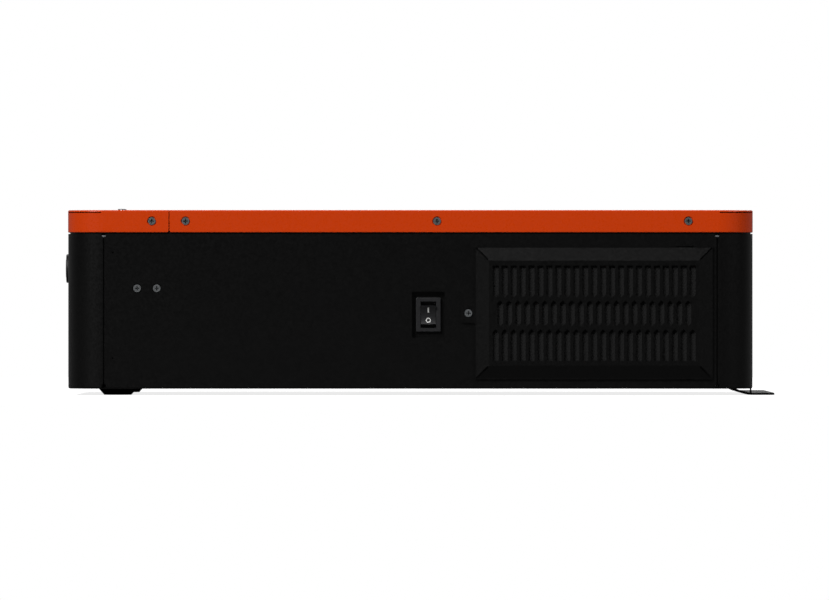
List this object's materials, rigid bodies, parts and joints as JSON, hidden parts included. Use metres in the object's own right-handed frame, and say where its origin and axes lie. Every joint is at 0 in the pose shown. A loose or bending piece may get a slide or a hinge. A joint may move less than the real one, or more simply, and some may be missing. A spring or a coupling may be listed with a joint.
{
  "type": "wall-mount solar inverter charger",
  "caption": "Wall-mount solar inverter charger: black sheet-steel box with rolled corners, orange front covers, side filter cover, rocker switch and a joggled wall lip.",
  "frame": {"origin": "middle of the overall length and width, on the plane of the wall that the standoffs and the lip touch", "axes": "+X from the wiring end to the top end, +Z out of the wall towards the front covers, -Y towards the switch side"},
  "size_m": [0.4344, 0.3048, 0.1142],
  "materials": {
    "black_coat": "fine-textured black powder coat",
    "orange_coat": "satin orange powder coat",
    "zinc": "bright zinc plate",
    "screw_steel": "zinc-plated screw steel",
    "copper_alloy": "tinned brass",
    "black_nylon": "moulded black nylon",
    "button_plastic": "moulded button",
    "rubber": "moulded rubber",
    "foam": "open-cell filter foam",
    "window": "smoked clear window",
    "lcd": "liquid crystal glass",
    "lens": "clear lamp lens",
    "circuit_board": "green solder mask",
    "heatsink_alloy": "extruded aluminium",
    "can_sleeve": "sleeved aluminium can",
    "ferrite": "sintered ferrite",
    "winding": "enamelled copper wire"
  },
  "bodies": {
    "housing": {"chassis_tray": "black_coat", "wiring_end_panel": "black_coat", "top_end_panel": "black_coat", "corner_brackets": "zinc", "main_cover": "orange_coat", "wiring_cover": "orange_coat", "cover_screws": "screw_steel", "cover_post": "zinc", "post_screw": "screw_steel", "wiring_bulkhead": "black_coat", "bulkhead_screws": "screw_steel", "fan_frame_left": "black_nylon", "fan_frame_right": "black_nylon", "fan_screws": "screw_steel", "switch_plate": "black_coat", "switch_body": "black_nylon", "switch_blades": "copper_alloy", "reset_nut": "black_nylon", "overload_protector": "black_nylon", "cable_grommets": "rubber", "communication_sockets": "black_nylon", "communication_board": "circuit_board", "ac_terminal_block": "black_nylon", "pv_terminal_block": "black_nylon", "clamp_screws": "screw_steel", "battery_base": "black_nylon", "battery_studs": "copper_alloy", "battery_nuts": "screw_steel", "ground_stud": "screw_steel", "display_bezel": "black_nylon", "display_window": "window", "display_lcd": "lcd", "display_board": "circuit_board", "led_lenses": "lens", "main_board": "circuit_board", "board_standoffs": "zinc", "heatsink_left": "heatsink_alloy", "heatsink_right": "heatsink_alloy", "heatsink_posts": "zinc", "power_transistors": "black_nylon", "bus_capacitors": "can_sleeve", "transformer_core": "ferrite", "transformer_winding": "winding", "inductor_cores": "ferrite", "inductor_windings": "winding", "relays": "black_nylon"},
    "filter_cover": {"filter_cover": "black_coat", "filter_foam": "foam", "filter_screw": "screw_steel"},
    "rocker": {"switch_rocker": "black_nylon"},
    "fan_rotor_left": {"fan_rotor_left": "black_nylon"},
    "fan_rotor_right": {"fan_rotor_right": "black_nylon"},
    "reset_button": {"reset_button": "button_plastic"},
    "key_up": {"key_up": "button_plastic"},
    "key_down": {"key_down": "button_plastic"},
    "key_enter": {"key_enter": "button_plastic"},
    "key_back": {"key_back": "button_plastic"}
  },
  "joints": [
    {"name": "rocker_tilt", "type": "hinge", "parent": "housing", "child": "rocker", "pos_m": [0.00617, -0.14305, 0.04925], "axis": [-1, 0, 0], "range_deg": [0, 20]},
    {"name": "reset_press", "type": "slide", "parent": "housing", "child": "reset_button", "axis": [1, 0, 0], "range_m": [0, 0.002], "stiffness_N_per_m": 400, "springref_m": -0.002},
    {"name": "filter_cover_pull", "type": "slide", "parent": "housing", "child": "filter_cover", "axis": [0, -1, 0], "range_m": [0, 0.03]},
    {"name": "fan_spin_left", "type": "hinge", "parent": "housing", "child": "fan_rotor_left", "pos_m": [0.07573, -0.13445, 0.04985], "axis": [0, 1, 0], "continuous": true},
    {"name": "fan_spin_right", "type": "hinge", "parent": "housing", "child": "fan_rotor_right", "pos_m": [0.13772, -0.13445, 0.04985], "axis": [0, 1, 0], "continuous": true},
    {"name": "key_up_press", "type": "slide", "parent": "housing", "child": "key_up", "axis": [0, 0, -1], "range_m": [0, 0.0005], "stiffness_N_per_m": 300, "springref_m": -0.001},
    {"name": "key_down_press", "type": "slide", "parent": "housing", "child": "key_down", "axis": [0, 0, -1], "range_m": [0, 0.0005], "stiffness_N_per_m": 300, "springref_m": -0.001},
    {"name": "key_enter_press", "type": "slide", "parent": "housing", "child": "key_enter", "axis": [0, 0, -1], "range_m": [0, 0.0005], "stiffness_N_per_m": 300, "springref_m": -0.001},
    {"name": "key_back_press", "type": "slide", "parent": "housing", "child": "key_back", "axis": [0, 0, -1], "range_m": [0, 0.0005], "stiffness_N_per_m": 300, "springref_m": -0.001}
  ]
}
